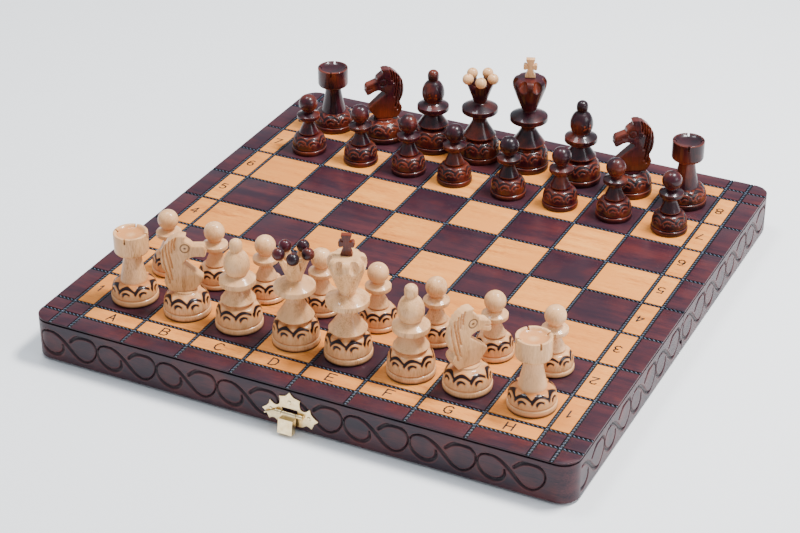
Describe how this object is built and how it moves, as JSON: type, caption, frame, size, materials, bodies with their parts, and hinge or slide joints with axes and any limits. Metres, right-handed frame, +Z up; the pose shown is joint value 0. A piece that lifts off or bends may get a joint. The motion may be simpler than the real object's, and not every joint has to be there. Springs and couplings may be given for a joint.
{
  "type": "folding chess set",
  "caption": "Carved wooden folding chess board with storage trays, hinges and hasp clasp, and turned chessmen on their starting squares.",
  "frame": {"origin": "middle of the open board, on the surface that it stands on", "axes": "+X along the ranks from file a to file h, +Y along the files from rank 1 to rank 8, +Z up out of the playing face"},
  "size_m": [0.284, 0.2931, 0.088],
  "materials": {
    "playing_panel": "satin lacquer over natural and stained squares",
    "carved_wall": "dark stain with carved line pattern, satin",
    "burnt_line": "burnt rolled rope line, slightly glossy",
    "natural_men": "natural wood with burnt arcs, satin",
    "stained_men": "mahogany stain with gloss lacquer",
    "brass": "thin pale brass plate"
  },
  "bodies": {
    "front_half": {"front_panel": "playing_panel", "front_outer_wall": "carved_wall", "front_left_wall": "carved_wall", "front_right_wall": "carved_wall", "front_hinge_wall": "carved_wall", "hinge_front_leaves": "brass", "hinge_pins": "brass", "front_nails": "brass", "clasp_plate": "brass", "clasp_pin": "brass"},
    "back_half": {"back_panel": "playing_panel", "back_outer_wall": "carved_wall", "back_left_wall": "carved_wall", "back_right_wall": "carved_wall", "back_hinge_wall": "carved_wall", "hinge_back_leaves": "brass", "back_nails": "brass", "catch_plate": "brass"},
    "hasp": {"clasp_hasp": "brass"},
    "white_pawn_a": {"white_pawn_a": "natural_men"},
    "white_pawn_b": {"white_pawn_b": "natural_men"},
    "white_pawn_c": {"white_pawn_c": "natural_men"},
    "white_pawn_d": {"white_pawn_d": "natural_men"},
    "white_pawn_e": {"white_pawn_e": "natural_men"},
    "white_pawn_f": {"white_pawn_f": "natural_men"},
    "white_pawn_g": {"white_pawn_g": "natural_men"},
    "white_pawn_h": {"white_pawn_h": "natural_men"},
    "white_rook_a": {"white_rook_a": "natural_men"},
    "white_rook_h": {"white_rook_h": "natural_men"},
    "white_knight_b": {"white_knight_base_b": "natural_men", "white_knight_head_b": "natural_men"},
    "white_knight_g": {"white_knight_base_g": "natural_men", "white_knight_head_g": "natural_men"},
    "white_bishop_c": {"white_bishop_c": "natural_men"},
    "white_bishop_f": {"white_bishop_f": "natural_men"},
    "white_queen": {"white_queen": "natural_men", "white_queen_beads": "stained_men"},
    "white_king": {"white_king": "natural_men", "white_king_cross": "stained_men"},
    "black_pawn_a": {"black_pawn_a": "stained_men"},
    "black_pawn_b": {"black_pawn_b": "stained_men"},
    "black_pawn_c": {"black_pawn_c": "stained_men"},
    "black_pawn_d": {"black_pawn_d": "stained_men"},
    "black_pawn_e": {"black_pawn_e": "stained_men"},
    "black_pawn_f": {"black_pawn_f": "stained_men"},
    "black_pawn_g": {"black_pawn_g": "stained_men"},
    "black_pawn_h": {"black_pawn_h": "stained_men"},
    "black_rook_a": {"black_rook_a": "stained_men"},
    "black_rook_h": {"black_rook_h": "stained_men"},
    "black_knight_b": {"black_knight_base_b": "stained_men", "black_knight_head_b": "stained_men"},
    "black_knight_g": {"black_knight_base_g": "stained_men", "black_knight_head_g": "stained_men"},
    "black_bishop_c": {"black_bishop_c": "stained_men"},
    "black_bishop_f": {"black_bishop_f": "stained_men"},
    "black_queen": {"black_queen": "stained_men", "black_queen_beads": "natural_men"},
    "black_king": {"black_king": "stained_men", "black_king_cross": "natural_men"}
  },
  "joints": [
    {"name": "board_fold", "type": "hinge", "parent": "front_half", "child": "back_half", "pos_m": [0, 0, 0.0013], "axis": [-1, 0, 0], "range_deg": [0, 180]},
    {"name": "clasp_swing", "type": "hinge", "parent": "front_half", "child": "hasp", "pos_m": [0.0016, -0.1435, 0.0096], "axis": [-1, 0, 0], "range_deg": [-10, 105]},
    {"name": "white_pawn_a_lift", "type": "slide", "parent": "front_half", "child": "white_pawn_a", "axis": [0, 0, 1], "range_m": [0, 0.09]},
    {"name": "white_pawn_b_lift", "type": "slide", "parent": "front_half", "child": "white_pawn_b", "axis": [0, 0, 1], "range_m": [0, 0.09]},
    {"name": "white_pawn_c_lift", "type": "slide", "parent": "front_half", "child": "white_pawn_c", "axis": [0, 0, 1], "range_m": [0, 0.09]},
    {"name": "white_pawn_d_lift", "type": "slide", "parent": "front_half", "child": "white_pawn_d", "axis": [0, 0, 1], "range_m": [0, 0.09]},
    {"name": "white_pawn_e_lift", "type": "slide", "parent": "front_half", "child": "white_pawn_e", "axis": [0, 0, 1], "range_m": [0, 0.09]},
    {"name": "white_pawn_f_lift", "type": "slide", "parent": "front_half", "child": "white_pawn_f", "axis": [0, 0, 1], "range_m": [0, 0.09]},
    {"name": "white_pawn_g_lift", "type": "slide", "parent": "front_half", "child": "white_pawn_g", "axis": [0, 0, 1], "range_m": [0, 0.09]},
    {"name": "white_pawn_h_lift", "type": "slide", "parent": "front_half", "child": "white_pawn_h", "axis": [0, 0, 1], "range_m": [0, 0.09]},
    {"name": "white_rook_a_lift", "type": "slide", "parent": "front_half", "child": "white_rook_a", "axis": [0, 0, 1], "range_m": [0, 0.09]},
    {"name": "white_rook_h_lift", "type": "slide", "parent": "front_half", "child": "white_rook_h", "axis": [0, 0, 1], "range_m": [0, 0.09]},
    {"name": "white_knight_b_lift", "type": "slide", "parent": "front_half", "child": "white_knight_b", "axis": [0, 0, 1], "range_m": [0, 0.09]},
    {"name": "white_knight_g_lift", "type": "slide", "parent": "front_half", "child": "white_knight_g", "axis": [0, 0, 1], "range_m": [0, 0.09]},
    {"name": "white_bishop_c_lift", "type": "slide", "parent": "front_half", "child": "white_bishop_c", "axis": [0, 0, 1], "range_m": [0, 0.09]},
    {"name": "white_bishop_f_lift", "type": "slide", "parent": "front_half", "child": "white_bishop_f", "axis": [0, 0, 1], "range_m": [0, 0.09]},
    {"name": "white_queen_lift", "type": "slide", "parent": "front_half", "child": "white_queen", "axis": [0, 0, 1], "range_m": [0, 0.09]},
    {"name": "white_king_lift", "type": "slide", "parent": "front_half", "child": "white_king", "axis": [0, 0, 1], "range_m": [0, 0.09]},
    {"name": "black_pawn_a_lift", "type": "slide", "parent": "back_half", "child": "black_pawn_a", "axis": [0, 0, 1], "range_m": [0, 0.09]},
    {"name": "black_pawn_b_lift", "type": "slide", "parent": "back_half", "child": "black_pawn_b", "axis": [0, 0, 1], "range_m": [0, 0.09]},
    {"name": "black_pawn_c_lift", "type": "slide", "parent": "back_half", "child": "black_pawn_c", "axis": [0, 0, 1], "range_m": [0, 0.09]},
    {"name": "black_pawn_d_lift", "type": "slide", "parent": "back_half", "child": "black_pawn_d", "axis": [0, 0, 1], "range_m": [0, 0.09]},
    {"name": "black_pawn_e_lift", "type": "slide", "parent": "back_half", "child": "black_pawn_e", "axis": [0, 0, 1], "range_m": [0, 0.09]},
    {"name": "black_pawn_f_lift", "type": "slide", "parent": "back_half", "child": "black_pawn_f", "axis": [0, 0, 1], "range_m": [0, 0.09]},
    {"name": "black_pawn_g_lift", "type": "slide", "parent": "back_half", "child": "black_pawn_g", "axis": [0, 0, 1], "range_m": [0, 0.09]},
    {"name": "black_pawn_h_lift", "type": "slide", "parent": "back_half", "child": "black_pawn_h", "axis": [0, 0, 1], "range_m": [0, 0.09]},
    {"name": "black_rook_a_lift", "type": "slide", "parent": "back_half", "child": "black_rook_a", "axis": [0, 0, 1], "range_m": [0, 0.09]},
    {"name": "black_rook_h_lift", "type": "slide", "parent": "back_half", "child": "black_rook_h", "axis": [0, 0, 1], "range_m": [0, 0.09]},
    {"name": "black_knight_b_lift", "type": "slide", "parent": "back_half", "child": "black_knight_b", "axis": [0, 0, 1], "range_m": [0, 0.09]},
    {"name": "black_knight_g_lift", "type": "slide", "parent": "back_half", "child": "black_knight_g", "axis": [0, 0, 1], "range_m": [0, 0.09]},
    {"name": "black_bishop_c_lift", "type": "slide", "parent": "back_half", "child": "black_bishop_c", "axis": [0, 0, 1], "range_m": [0, 0.09]},
    {"name": "black_bishop_f_lift", "type": "slide", "parent": "back_half", "child": "black_bishop_f", "axis": [0, 0, 1], "range_m": [0, 0.09]},
    {"name": "black_queen_lift", "type": "slide", "parent": "back_half", "child": "black_queen", "axis": [0, 0, 1], "range_m": [0, 0.09]},
    {"name": "black_king_lift", "type": "slide", "parent": "back_half", "child": "black_king", "axis": [0, 0, 1], "range_m": [0, 0.09]}
  ]
}
